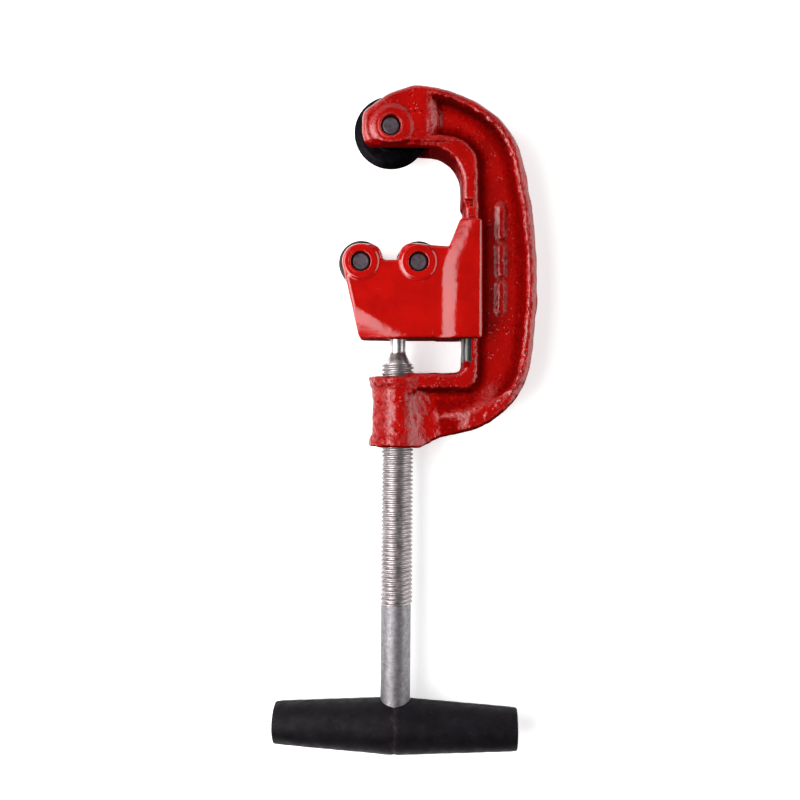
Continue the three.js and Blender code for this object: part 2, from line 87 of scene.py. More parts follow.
# Frame casting. A half is half of a thickness, counted from the middle plane.
RIM_HALF = 15
RIM_FACE_DROP = 0.7
RIM_WIDTH = 5.6
RIM_EDGE = 4.5
WEB_HALF = 6.5
COVE_WIDTH = 18
RAIL_HALF = 13
RAIL_CAST_RISE = 0.35
RAIL_INNER_X = 37.5
RAIL_OUTER_X = 42.6
MACHINED_LOW_Y = 23
MACHINED_HIGH_Y = 112
NOTCH_Y = 113.5
NOTCH_HALF = 1.8
NOTCH_DEPTH = 1.2
COLLAR_RADIUS = 11
COLLAR_OFFSET = 0.8
EAR_UPPER_SLOPE = (0.545, 0.839)
EAR_LOWER_SLOPE = (0.848, 0.530)
BAR_X = 59.5
BAR_SPANS = ((96, 112), (74, 89), (52, 67))
BAR_HALF_WIDTH = 1.6
BAR_HEIGHT = 1.3

# Nut boss at the foot of the frame, with its barrel's radius at a few heights
BOSS_TOP = 15.3
BOSS_BOTTOM = -27.4
BOSS_FACE = 13.8
BOSS_SLOPE = math.radians(31)
BOSS_REACH = 18.3
BOSS_HEIGHTS = [-30, -27.4, -24, -20, -15, 0, 6, 9.5, 12, 15.3, 18]
BOSS_RADII = [16.3, 16.6, 16.5, 15.1, 14.7, 14.7, 15.0, 16.2, 16.8, 16.8, 16.8]
NUT_BORE_RADIUS = 9.95
NUT_CHAMFER = 1.1

# Block casting
BLOCK_HALF = 16
CHEEK_HALF = BLOCK_HIGH[2]
CHEEK_SLOPE_RUN = 12
CHEEK_BEVEL_X = 45.9
CHANNEL_HALF = 13.3
ROLLER_COLLAR_RADIUS = 10
ROLLER_COLLAR_RISE = 0.9
ROLLER_SLOT_REACH = 30.7

# Wheel, rollers and pins
SLOT_HALF = 9.8
SLOT_GAP = 1.2
HUB_HALF = 9.3
HUB_RADIUS = 10.4
ROLLER_CHAMFER = 0.9
PIN_RADIUS = 4.75
PIN_PLAY = 0.15
PIN_HOLE_RADIUS = 4.9
PIN_HEAD_RADIUS = 6.5
PIN_HEAD_HEIGHT = 2.2
PIN_RECESS = 0.6
RING_DEPTH = 2
RING_GROOVE_DEPTH = 0.45
RING_WIRE_RADIUS = 0.5
RING_GAP_ANGLE = 0.5
RING_POCKET_RADIUS = 5.65
RING_POCKET_DEPTH = 3

# Screw and handle
THREAD_RADIUS = 9.525
THREAD_PITCH = 2.54
THREAD_DEPTH = 1.5
THREAD_TOP = 21
THREAD_BOTTOM = -119.4
CONE_RADIUS = 7.7
CONE_TOP = 27.7
NECK_RADIUS = 4.55
NECK_GROOVE_RADIUS = 3.4
NECK_GROOVE_LOW = 42.1
NECK_GROOVE_HIGH = 45.9
NECK_PIN_RADIUS = 1.5
SHANK_RADIUS = 8.75
HANDLE_HALF_LENGTH = 71.4
HANDLE_END_RADIUS = 12.7
HANDLE_MID_RADIUS = 16.8
HANDLE_TURN = math.radians(3.3)
HANDLE_PIN_RADIUS = 2.5
HANDLE_PIN_FRONT = 12
HANDLE_PIN_RECESS = 0.8

# Fineness of the castings, the seed of their random lumps, and more than any distance in them
STEP = 0.5
SEED = 7
FAR = 99

# ---------------------------------------------------------------- outlines


def rounded(corners, arc_step=0.12):
    """The closed outline through (x, y, rounding) corners, as points, with arcs at its corners."""
    points = []
    count = len(corners)
    for index, (x, y, radius) in enumerate(corners):
        corner = np.array((x, y), float)
        to_before = np.array(corners[index - 1][:2]) - corner
        to_after = np.array(corners[(index + 1) % count][:2]) - corner
        to_before = to_before / np.linalg.norm(to_before)
        to_after = to_after / np.linalg.norm(to_after)
        half = math.acos(float(to_before @ to_after)) / 2
        bisector = (to_before + to_after) / np.linalg.norm(to_before + to_after)
        centre = corner + bisector * radius / math.sin(half)
        start = corner + to_before * radius / math.tan(half) - centre
        end = corner + to_after * radius / math.tan(half) - centre
        first = math.atan2(start[1], start[0])
        turn = math.atan2(start[0] * end[1] - start[1] * end[0], float(start @ end))
        steps = max(2, int(abs(turn) / arc_step) + 1)
        for k in range(steps + 1):
            angle = first + turn * k / steps
            points.append(centre + radius * np.array((math.cos(angle), math.sin(angle))))
    return np.array(points)


FRAME_OUTLINE = [
    (-22, 166, 9),
    (-6, 177.5, 16),
    (8, 182.2, 19),
    (29.5, 180.6, 75),
    (66.2, 160, 50),
    (85, 85, 290),
    (72.8, -11.6, 50),
    (26, -21.4, 12),
    (13, -27, 2),
    (4, -27, 2),
    (4, 16, 2),
    (37.5, 16, 5),
    (37.5, 111, 1.5),
    (36.2, 113.5, 1.5),
    (36.2, 144.5, 20),
    (-19, 145.2, 5),
    (-22, 153, 8),
]
RECESS_OUTLINE = [
    (6, 200, 1),
    (110, 200, 1),
    (110, -50, 1),
    (0, -50, 1),
    (0, 8, 4),
    (43.5, 8, 5),
    (43.5, 151, 16),
    (6, 151, 1),
]
BLOCK_OUTLINE = [
    (-22.5, 35.3, 3),
    (-34.8, 89.4, 10),
    (-11, 89.4, 7),
    (-8.6, 80.5, 2),
    (-0.5, 80.5, 2),
    (1.6, 90.8, 8),
    (29, 88, 1.5),
    (35.2, 104, 2),
    (47.6, 104, 2),
    (48.2, 35.8, 2),
]
CHEEK_OUTLINE = [
    (22, 35.4, 2),
    (22, 87.9, 2),
    (29, 88, 1),
    (35.2, 104, 2),
    (47.6, 104, 2),
    (48.2, 35.8, 2),
]
CHEEK_SLOPE_OUTLINE = [
    (25.4, 10, 1),
    (25.4, 76, 40),
    (41, 120, 1),
    (80, 120, 1),
    (80, 10, 1),
]
CHANNEL_OUTLINE = [
    (37.2, 30, 1),
    (37.2, 62, 1),
    (33.5, 64, 1),
    (33.5, 84, 1),
    (26, 86, 1),
    (26, 110, 1),
    (60, 110, 1),
    (60, 30, 1),
]

# ---------------------------------------------------------------- distance fields for the castings


class Grid:
    """A block of sample points, and the distance fields of simple shapes on it."""

    def __init__(self, low, high, margin=2.0):
        self.low = np.array(low, float) - margin
        counts = np.ceil((np.array(high, float) + margin - self.low) / STEP).astype(int) + 1
        axes = [self.low[k] + STEP * np.arange(counts[k]) for k in range(3)]
        self.x = axes[0][:, None, None]
        self.y = axes[1][None, :, None]
        self.z = axes[2][None, None, :]
        self.counts = counts

    def outline(self, corners):
        """Distance to an outline in the xy plane, below zero inside it."""
        points = rounded(corners)
        x = self.x[:, :, 0]
        y = self.y[:, :, 0]
        nearest = np.full((self.counts[0], self.counts[1]), 1e9)
        inside = np.zeros(nearest.shape, bool)
        for (ax, ay), (bx, by) in zip(points, np.roll(points, -1, axis=0)):
            ex, ey = bx - ax, by - ay
            length2 = ex * ex + ey * ey
            if length2 < 1e-12:
                continue
            along = np.clip(((x - ax) * ex + (y - ay) * ey) / length2, 0, 1)
            nearest = np.minimum(nearest, (x - ax - ex * along) ** 2 + (y - ay - ey * along) ** 2)
            if ey != 0:
                crosses = (y >= min(ay, by)) & (y < max(ay, by))
                inside ^= crosses & (x < ax + (y - ay) * ex / ey)
        return np.where(inside, -1, 1)[:, :, None] * np.sqrt(nearest)[:, :, None]

    def plate(self, flat, half, edge):
        """An outline's field stood up to plus and minus half, with rounded edges."""
        side = flat + edge
        face = np.abs(self.z) - half + edge
        outside = np.hypot(np.maximum(side, 0), np.maximum(face, 0))
        return np.minimum(np.maximum(side, face), 0) + outside - edge

    def disc(self, x, y):
        return np.hypot(self.x - x, self.y - y)

    def sample(self, field, piece):
        """The field's value at each of the piece's points."""
        points = np.zeros(len(piece.data.vertices) * 3)
        piece.data.vertices.foreach_get("co", points)
        tool = (points.reshape(-1, 3) - np.array(ORIGIN)) / MM
        cells = np.rint((tool - self.low) / STEP).astype(int)
        i, j, k = np.clip(cells, 0, self.counts - 1).T
        return np.broadcast_to(field, self.counts)[i, j, k]

    def noise(self, spacing, seed):
        """Smooth noise of about -1 to 1, with lumps about twice the spacing across."""
        rng = np.random.default_rng(seed)
        size = [int((n - 1) * STEP / spacing) + 5 for n in self.counts]
        values = rng.normal(0, 1, size)
        for axis in range(3):
            at = np.arange(self.counts[axis]) * STEP / spacing + 1
            cell = np.floor(at).astype(int)
            t = at - cell
            weights = np.stack((
                (1 - t) ** 3,
                3 * t ** 3 - 6 * t ** 2 + 4,
                -3 * t ** 3 + 3 * t ** 2 + 3 * t + 1,
                t ** 3,
            )) / 6
            values = np.moveaxis(values, axis, 0)
            total = 0
            for k in range(4):
                total = total + weights[k][:, None, None] * values[cell + k - 1]
            values = np.moveaxis(total, 0, axis)
        return values / values.std()


def soft_min(a, b, k):
    """The lesser of two fields, blended where they differ by less than k."""
    h = np.clip(0.5 + 0.5 * (b - a) / k, 0, 1)
    return b * (1 - h) + a * h - k * h * (1 - h)


def soft_max(a, b, k):
    """The greater of two fields, blended in the same way."""
    return -soft_min(-a, -b, k)


def ramp(value, start, end):
    """Eases from 0 at the start to 1 at the end."""
    t = np.clip((value - start) / (end - start), 0, 1)
    return t * t * (3 - 2 * t)


# ---------------------------------------------------------------- meshes


def to_row(points):
    return np.asarray(points, float) * MM + np.array(ORIGIN)


def add_mesh(name, points, faces):
    mesh = bpy.data.meshes.new(name)
    mesh.from_pydata(to_row(points).tolist(), [], [list(map(int, f)) for f in faces])
    mesh.validate()
    mesh.update()
    mesh.shade_smooth()
    piece = bpy.data.objects.new(name, mesh)
    bpy.context.scene.collection.objects.link(piece)
    return piece


def skin(name, grid, field):
    """The zero surface of a distance field, as a mesh of quads."""
    volume = openvdb.FloatGrid(3 * STEP)
    volume.copyFromArray(np.clip(field, -3 * STEP, 3 * STEP).astype(np.float32))
    points, quads = volume.convertToQuads(isovalue=0.0)
    points = np.asarray(points) * STEP + grid.low
    a, b, c, d = (points[quads[:, k]] for k in range(4))
    if (np.cross(c - a, d - b) * (a + b + c + d)).sum() < 0:
        quads = quads[:, ::-1]
    return add_mesh(name, points, quads)


def profile_points(corners):
    """An open profile of (radius, height, rounding) corners, with arcs at the rounded ones."""
    points = [np.array(corners[0][:2], float)]
    for index in range(1, len(corners) - 1):
        radius, height, rounding = corners[index]
        corner = np.array((radius, height), float)
        to_before = np.array(corners[index - 1][:2], float) - corner
        to_after = np.array(corners[index + 1][:2], float) - corner
        reach = min(rounding, 0.45 * np.linalg.norm(to_before), 0.45 * np.linalg.norm(to_after))
        if reach < 0.02:
            points.append(corner)
            continue
        start = corner + to_before / np.linalg.norm(to_before) * reach
        end = corner + to_after / np.linalg.norm(to_after) * reach
        for t in np.linspace(0, 1, 5):
            points.append((1 - t) ** 2 * start + 2 * t * (1 - t) * corner + t * t * end)
    points.append(np.array(corners[-1][:2], float))
    return np.array(points)


def divided(points, longest):
    """The profile with extra points, so that no stretch is longer than that."""
    result = [points[0]]
    for start, end in zip(points[:-1], points[1:]):
        steps = max(1, math.ceil(np.linalg.norm(end - start) / longest))
        result += [start + (end - start) * k / steps for k in range(1, steps + 1)]
    return np.array(result)


AXES = {
    "x": lambda across, up, along: (along, across, up),
    "y": lambda across, up, along: (up, along, across),
    "z": lambda across, up, along: (across, up, along),
}


def turned(name, corners, sides, axis, centre=(0, 0, 0), longest=1.5, lumps=None, loop=False):
    """A profile turned about an axis. It starts and ends on the axis, or closes on itself."""
    profile = divided(profile_points(corners), longest)
    if loop:
        profile = profile[:-1]
    angles = 2 * np.pi * np.arange(sides) / sides
    radius = np.repeat(profile[:, :1], sides, axis=1)
    along = np.repeat(profile[:, 1:], sides, axis=1)
    angle = np.repeat(angles[None, :], len(profile), axis=0)
    if lumps is not None:
        radius = radius + lumps(radius, along, angle) * (radius > 0.01)
    coords = AXES[axis](radius * np.cos(angle), radius * np.sin(angle), along)
    rings = np.stack(coords, axis=2)
    points = []
    index = np.zeros((len(profile), sides), int)
    for row in range(len(profile)):
        if profile[row, 0] < 0.01:
            index[row] = len(points)
            points.append(rings[row, 0])
        else:
            index[row] = len(points) + np.arange(sides)
            points += list(rings[row])
    faces = []
    last = len(profile) if loop else len(profile) - 1
    for row in range(last):
        below, above = index[row], index[(row + 1) % len(profile)]
        for side in range(sides):
            after = (side + 1) % sides
            corner = (below[side], below[after], above[after], above[side])
            face = [v for k, v in enumerate(corner) if v != corner[k - 1]]
            if len(face) > 2:
                faces.append(face)
    return add_mesh(name, np.array(points) + np.array(centre, float), faces)


def face_outwards(piece):
    work = bmesh.new()
    work.from_mesh(piece.data)
    bmesh.ops.recalc_face_normals(work, faces=work.faces)
    work.to_mesh(piece.data)
    work.free()
    return piece


def sharpen(piece, angle=35):
    """Keeps shading crisp across edges steeper than that."""
    piece.data.set_sharp_from_angle(angle=math.radians(angle))
    return piece


def settle(piece, body, slot, *nodes):
    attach(piece, body)
    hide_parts(*nodes)
    return piece


# ---------------------------------------------------------------- material kit


class Recipe:
    """A node material, with short ways to add the nodes that these surfaces use."""

    def __init__(self, name, **constants):
        self.material = bpy.data.materials.new(name)
        self.material.use_nodes = True
        self.tree = self.material.node_tree
        self.shader = self.tree.nodes["Principled BSDF"]
        for socket, value in constants.items():
            self.shader.inputs[socket.replace("_", " ")].default_value = value
        coords = self.tree.nodes.new("ShaderNodeTexCoord")
        self.place = self.tree.nodes.new("ShaderNodeMapping")
        self.place.inputs["Scale"].default_value = (1 / MM, 1 / MM, 1 / MM)
        self.link(coords.outputs["Object"], self.place.inputs["Vector"])

    def link(self, source, target):
        self.tree.links.new(source, target)

    def feed(self, socket, source):
        self.link(source, self.shader.inputs[socket])

    def noise(self, size, detail=4.0, roughness=0.55, stretch=None):
        """Noise with features about that many millimetres across."""
        node = self.tree.nodes.new("ShaderNodeTexNoise")
        node.inputs["Scale"].default_value = 1 / size
        node.inputs["Detail"].default_value = detail
        node.inputs["Roughness"].default_value = roughness
        source = self.place.outputs["Vector"]
        if stretch is not None:
            squeeze = self.tree.nodes.new("ShaderNodeVectorMath")
            squeeze.operation = "MULTIPLY"
            squeeze.inputs[1].default_value = stretch
            self.link(source, squeeze.inputs[0])
            source = squeeze.outputs[0]
        self.link(source, node.inputs["Vector"])
        return node.outputs["Fac"]

    def cells(self, size):
        node = self.tree.nodes.new("ShaderNodeTexVoronoi")
        node.inputs["Scale"].default_value = 1 / size
        self.link(self.place.outputs["Vector"], node.inputs["Vector"])
        return node.outputs["Distance"]

    def stops(self, source, *stops):
        """A ramp of (position, colour or grey level) stops."""
        node = self.tree.nodes.new("ShaderNodeValToRGB")
        elements = node.color_ramp.elements
        while len(elements) < len(stops):
            elements.new(0.5)
        for element, (position, value) in zip(elements, stops):
            element.position = position
            element.color = (*value, 1) if isinstance(value, tuple) else (value, value, value, 1)
        self.link(source, node.inputs["Fac"])
        return node.outputs["Color"]

    def mix(self, factor, first, second):
        node = self.tree.nodes.new("ShaderNodeMix")
        node.data_type = "RGBA"
        self.link(factor, node.inputs["Factor"])
        for socket, value in ((node.inputs[6], first), (node.inputs[7], second)):
            if isinstance(value, tuple):
                socket.default_value = (*value, 1)
            else:
                self.link(value, socket)
        return node.outputs[2]

    def math(self, operation, first, second):
        node = self.tree.nodes.new("ShaderNodeMath")
        node.operation = operation
        for socket, value in zip(node.inputs, (first, second)):
            if isinstance(value, (int, float)):
                socket.default_value = value
            else:
                self.link(value, socket)
        return node.outputs[0]

    def attribute(self, name):
        node = self.tree.nodes.new("ShaderNodeAttribute")
        node.attribute_name = name
        return node.outputs["Fac"]

    def bump(self, height, depth, under=None):
        """Relief that stands that many millimetres high."""
        node = self.tree.nodes.new("ShaderNodeBump")
        node.inputs["Strength"].default_value = 1.0
        node.inputs["Distance"].default_value = depth * MM
        self.link(height, node.inputs["Height"])
        if under is not None:
            self.link(under, node.inputs["Normal"])
        return node.outputs["Normal"]


def mark(piece, name, values):
    """Stores a value at each point, for the materials to read."""
    layer = piece.data.attributes.new(name, "FLOAT", "POINT")
    layer.data.foreach_set("value", values.astype(np.float32))


def mark_surface(piece, rounds=6):
    """Stores how proud each point stands, how far it faces down the tool, and how steep it is."""
    mesh = piece.data
    count = len(mesh.vertices)
    points = np.zeros(count * 3)
    mesh.vertices.foreach_get("co", points)
    points = points.reshape(-1, 3)
    normals = np.zeros(count * 3)
    mesh.vertices.foreach_get("normal", normals)
    normals = normals.reshape(-1, 3)
    ends = np.zeros(len(mesh.edges) * 2, np.int32)
    mesh.edges.foreach_get("vertices", ends)
    first, second = ends[0::2], ends[1::2]
    degree = np.bincount(ends, minlength=count)[:, None]

    def blur(values):
        total = np.zeros_like(values)
        for k in range(3):
            total[:, k] += np.bincount(first, values[second, k], count)
            total[:, k] += np.bincount(second, values[first, k], count)
        return total / np.maximum(degree, 1)

    smooth_points, smooth_normals = points, normals
    for _ in range(rounds):
        smooth_points = blur(smooth_points)
        smooth_normals = blur(smooth_normals)
    proud = ((points - smooth_points) * normals).sum(1) / (0.35 * MM)
    marks = {
        "relief": np.clip(proud, -1, 1),
        "under": -smooth_normals[:, 1],
        "steep": 1 - np.abs(smooth_normals[:, 2]),
    }
    for name, values in marks.items():
        mark(piece, name, values)
    return piece


# ---------------------------------------------------------------- materials

ENAMEL_IOR = 1.5
ENAMEL_IOR_LOSS = 0.49
ENAMEL_COAT = 0.25
# Painted shade in hollows and along wall feet, and real dirt at the rail's ends, share this red.
SHADE_AND_DIRT_RED = (0.10, 0.001, 0.001)
SHADED_RED = (0.045, 0.0008, 0.0008)
SPECK_RED = (0.08, 0.0008, 0.0008)
CHIP_COLOUR = (0.02, 0.0015, 0.0015)
PIT_DEPTH = 0.1
GRAIN_HEIGHT = 0.2
DUST_COLOUR = (0.045, 0.035, 0.032)


def red_enamel(name, dark, light, roughness, peel, grit, shade):
    """Glossy enamel with pinholes, chips, grit and orange peel, with painted shade in its hollows
    and on its down-facing sides.
    """
    recipe = Recipe(name, Coat_Roughness=0.05, IOR=ENAMEL_IOR, Specular_IOR_Level=0.5)
    red = recipe.stops(recipe.noise(14, 5), (0.3, dark), (0.62, light))
    proud = recipe.math("MULTIPLY", recipe.math("ADD", recipe.attribute("relief"), 1.0), 0.5)
    # Painted shade: concave spots are darkened towards the shade-and-dirt red.
    hollows = recipe.stops(proud, (0.12, 1.0), (0.44, 0.0))
    red = recipe.mix(hollows, red, SHADE_AND_DIRT_RED)
    # Painted shade, plus the real dirt at the rail's ends, from the frame's mark: darkens and
    # dulls the enamel in patches.
    dirt_and_shade_patches = recipe.math("MULTIPLY", recipe.attribute("dirt_and_shade"), recipe.noise(2.5, 5, 0.65))
    dirt_and_shade_patches = recipe.stops(dirt_and_shade_patches, (0.1, 0.0), (0.5, 0.8))
    red = recipe.mix(dirt_and_shade_patches, red, SHADE_AND_DIRT_RED)
    under = recipe.math("ADD", recipe.attribute("under"), recipe.noise(3, 4))
    under = recipe.stops(recipe.math("MULTIPLY", under, 0.5), (shade, 0.0), (shade + 0.2, 0.9))
    red = recipe.mix(under, red, SHADED_RED)
    holes = recipe.stops(recipe.cells(3.2), (0.045, 1.0), (0.085, 0.0))
    sparse = recipe.stops(recipe.noise(6, 2), (0.52, 0.0), (0.58, 1.0))
    pits = recipe.math("MULTIPLY", holes, sparse)
    edges = recipe.stops(proud, (0.72, 0.0), (0.85, 1.0))
    worn = recipe.stops(recipe.noise(2.0, 6, 0.7), (0.59, 0.0), (0.63, 1.0))
    marks = recipe.math("MAXIMUM", pits, recipe.math("MULTIPLY", edges, worn))
    red = recipe.mix(marks, red, CHIP_COLOUR)
    gritty = recipe.stops(recipe.noise(7, 3), (0.38, 0.0), (0.58, 1.0))
    specks = recipe.stops(recipe.noise(1.5, 3, 0.6), (0.54, 0.0), (0.64, grit))
    red = recipe.mix(recipe.math("MULTIPLY", specks, gritty), red, SPECK_RED)
    recipe.feed("Base Color", red)
    sheen = recipe.stops(recipe.noise(2.5, 3), (0.35, roughness * 0.7), (0.7, roughness * 1.5))
    recipe.feed("Roughness", recipe.mix(under, sheen, (0.6, 0.6, 0.6)))
    dull = recipe.math("MAXIMUM", under, recipe.math("MULTIPLY", hollows, 0.4))
    dull = recipe.math("MAXIMUM", dull, dirt_and_shade_patches)
    loss = recipe.stops(dull, (0.0, 0.0), (0.5, ENAMEL_IOR_LOSS))
    recipe.feed("IOR", recipe.math("SUBTRACT", ENAMEL_IOR, loss))
    recipe.feed("Coat Weight", recipe.stops(dull, (0.0, ENAMEL_COAT), (0.4, 0.0)))
    swing = recipe.stops(recipe.attribute("steep"), (0.005, 0.16), (0.06, 1.0))
    skin_bump = recipe.bump(recipe.math("MULTIPLY", recipe.noise(1.2, 3, 0.6), swing), peel)
    grains = recipe.stops(recipe.cells(2.0), (0.08, 1.0), (0.24, 0.0))
    grains = recipe.math("MULTIPLY", grains, gritty)
    skin_bump = recipe.bump(grains, GRAIN_HEIGHT * grit, skin_bump)
    pit_bump = recipe.bump(recipe.math("SUBTRACT", 1.0, marks), PIT_DEPTH, skin_bump)
    recipe.feed("Normal", pit_bump)
    return recipe.material


def bare_steel(name, dark, light, roughness, grain=(1, 1, 1), size=1.2, relief=0.03, metallic=1.0):
    """Steel with a mottled tone and a grain that can be stretched along the cut."""
    recipe = Recipe(name, Metallic=metallic)
    mottle = recipe.noise(size * 3, 6, 0.65, grain)
    recipe.feed("Base Color", recipe.stops(mottle, (0.32, dark), (0.68, light)))
    recipe.feed("Roughness", recipe.stops(
        recipe.noise(size, 4, 0.6, grain), (0.3, roughness * 0.75), (0.7, roughness * 1.3)))
    recipe.feed("Normal", recipe.bump(recipe.noise(size * 0.5, 4, 0.6, grain), relief))
    return recipe.material


def black_coat(name):
    """Matt black paint on a casting, with brownish dust and paler scuffs on its proud spots."""
    recipe = Recipe(name, IOR=1.45, Specular_IOR_Level=0.1)
    tone = recipe.stops(
        recipe.noise(9, 6, 0.65),
        (0.35, (0.0032, 0.0024, 0.0036)), (0.7, (0.008, 0.0062, 0.0088)))
    dust = recipe.math("ADD", recipe.noise(3.5, 8, 0.75), recipe.attribute("worn"))
    dust = recipe.stops(dust, (0.58, 0.0), (0.82, 0.5))
    recipe.feed("Base Color", recipe.mix(dust, tone, DUST_COLOUR))
    recipe.feed("Roughness", recipe.stops(recipe.noise(5, 5), (0.3, 0.42), (0.7, 0.68)))
    under = recipe.bump(recipe.noise(1.4, 6, 0.65), 0.09)
    recipe.feed("Normal", recipe.bump(recipe.noise(0.5, 3), 0.03, under))
    return recipe.material


# ---------------------------------------------------------------- frame casting


def pin_hole(grid, x, y, face_half):
    """The hole for a pin, with the pocket for its ring in the upper face."""
    across = grid.disc(x, y)
    pocket = np.maximum(across - RING_POCKET_RADIUS, face_half - RING_POCKET_DEPTH - grid.z)
    return np.minimum(across - PIN_HOLE_RADIUS, pocket)


def boss_field(grid):
    """The nut: a barrel with a flange at each end, which slopes down to the web on the right."""
    up = np.abs(grid.z)
    sloped = math.sin(BOSS_SLOPE) * grid.x + math.cos(BOSS_SLOPE) * up
    around = np.where(grid.x > math.tan(BOSS_SLOPE) * up, sloped, np.hypot(grid.x, up))
    radius = np.interp(grid.y, BOSS_HEIGHTS, BOSS_RADII)
    middle = (BOSS_FACE + BOSS_BOTTOM) / 2
    ends = np.abs(grid.y - middle) - (BOSS_FACE - BOSS_BOTTOM) / 2
    return soft_max(soft_max(around - radius, ends, 2.5), grid.x - BOSS_REACH, 1.0)


def recess_field(grid, outline):
    """What is hollowed from each face, and where shade is painted along the foot of its walls and
    over the lower arm.

    The hollow ends beside the wheel in two slopes, which meet in a ridge.
    """
    up = np.abs(grid.z)
    depth = np.maximum(RIM_HALF - up, 0)
    # The walls have draft, and the floor curves up a little towards the rim.
    rim_wall = 0.95 * (outline + RIM_WIDTH + 0.3 * depth)
    rail_wall = 0.93 * (grid.outline(RECESS_OUTLINE) + 0.4 * depth)
    cove = np.clip(1 + (outline + RIM_WIDTH) / COVE_WIDTH, 0, 1) ** 2
    floor = WEB_HALF + cove - up
    walls = soft_max(rim_wall, rail_wall, 5)
    hollow = soft_max(walls, floor, 0.8)
    # Along the lower arm another floor takes over, which sweeps up to the edge.
    sweep_height = 8 * (0.25 + 0.75 * ramp(grid.x, 18, 54))
    swept = WEB_HALF + sweep_height * ramp(-outline, 26, 8)
    swept = soft_max(0.95 * (swept - up), rail_wall, 2.6)
    low = ramp(14 - grid.y + 0.12 * (60 - grid.x), 0, 24)
    hollow = hollow * (1 - low) + swept * low
    across, down = EAR_UPPER_SLOPE
    upper_ramp = across * (15 - grid.x) + down * (depth - RIM_FACE_DROP)
    across, down = EAR_LOWER_SLOPE
    lower_ramp = across * (21.5 - grid.x) + down * (depth - 4.9)
    ear_ramp = np.where(grid.y > 60, np.minimum(upper_ramp, lower_ramp), -FAR)
    # Painted shade: a darker band along the foot of the walls and over the lower arm's sweep.
    along_arm = low * ramp(-outline, 8, 18)
    dirt_and_shade = np.maximum(ramp(walls, -7, 0) * ramp(depth, 2, 5), along_arm * ramp(depth, 1, 4))
    return soft_max(hollow, ear_ramp, 1.2), dirt_and_shade * ramp(grid.x + 0.2 * grid.y, 18, 24)


def raised_bars(grid):
    """Plain raised bars in a column on the web, where the real casting is marked."""
    bars = np.full((grid.counts[0], grid.counts[1], 1), float(FAR))
    for low, high in BAR_SPANS:
        along = np.maximum(np.abs(grid.y - (low + high) / 2) - (high - low) / 2, 0)
        bars = np.minimum(bars, np.hypot(grid.x - BAR_X, along) - BAR_HALF_WIDTH)
    return soft_max(bars, np.abs(grid.z) - WEB_HALF - BAR_HEIGHT, 1.6)


def frame_lumps(grid, outline, hollow):
    """The foundry's skin: rough on the walls, the rim's inner edge and the barrel, else fine."""
    up = np.abs(grid.z)
    walls = ramp(-hollow, -1.5, 0.5) * ramp(up, WEB_HALF + 1, WEB_HALF + 3) * (grid.y > 0)
    barrel = (1 - ramp(grid.x, -6, 2) + 0.6 * ramp(grid.x, 6, 9)) * (grid.y < 14)
    barrel = barrel * (grid.x < 18)
    crest = ramp(2.4 - np.abs(outline + RIM_WIDTH - 0.6), 0, 1.4) * ramp(grid.x, 40, 50)
    rough = 0.012 + 0.04 * ramp(-hollow, -1.5, 0.5) + 0.10 * walls + 0.07 * barrel + 0.09 * crest
    lumps = rough * grid.noise(1.2, SEED) + 0.05 * grid.noise(6.0, SEED + 1)
    lumps = lumps + 0.13 * grid.noise(3.5, SEED + 4) * ramp(outline, -2.2, -0.4)
    calm = ramp(np.hypot(grid.x, grid.z), 10, 12.5) * ramp(grid.disc(WHEEL_X, WHEEL_Y), 6, 8)
    return lumps * calm


def nut_bore(grid):
    """The nut's bore, with a chamfer at both mouths. Above the lower arm there is none."""
    around = np.hypot(grid.x, grid.z)
    middle = (BOSS_TOP + BOSS_BOTTOM) / 2
    mouth = NUT_BORE_RADIUS + NUT_CHAMFER * ramp(np.abs(grid.y - middle), 20.2, 21.4)
    return np.where(grid.y < 30, mouth - around, -FAR)


def wheel_slot(grid):
    """Room for the wheel, open towards the throat and the left."""
    gap = WHEEL_RADIUS + SLOT_GAP
    below = np.maximum(grid.y - WHEEL_Y, grid.x - WHEEL_X - gap)
    below = np.maximum(below, 120 - grid.y)
    slot = np.minimum(grid.disc(WHEEL_X, WHEEL_Y) - gap, below)
    return np.maximum(slot, np.abs(grid.z) - SLOT_HALF)


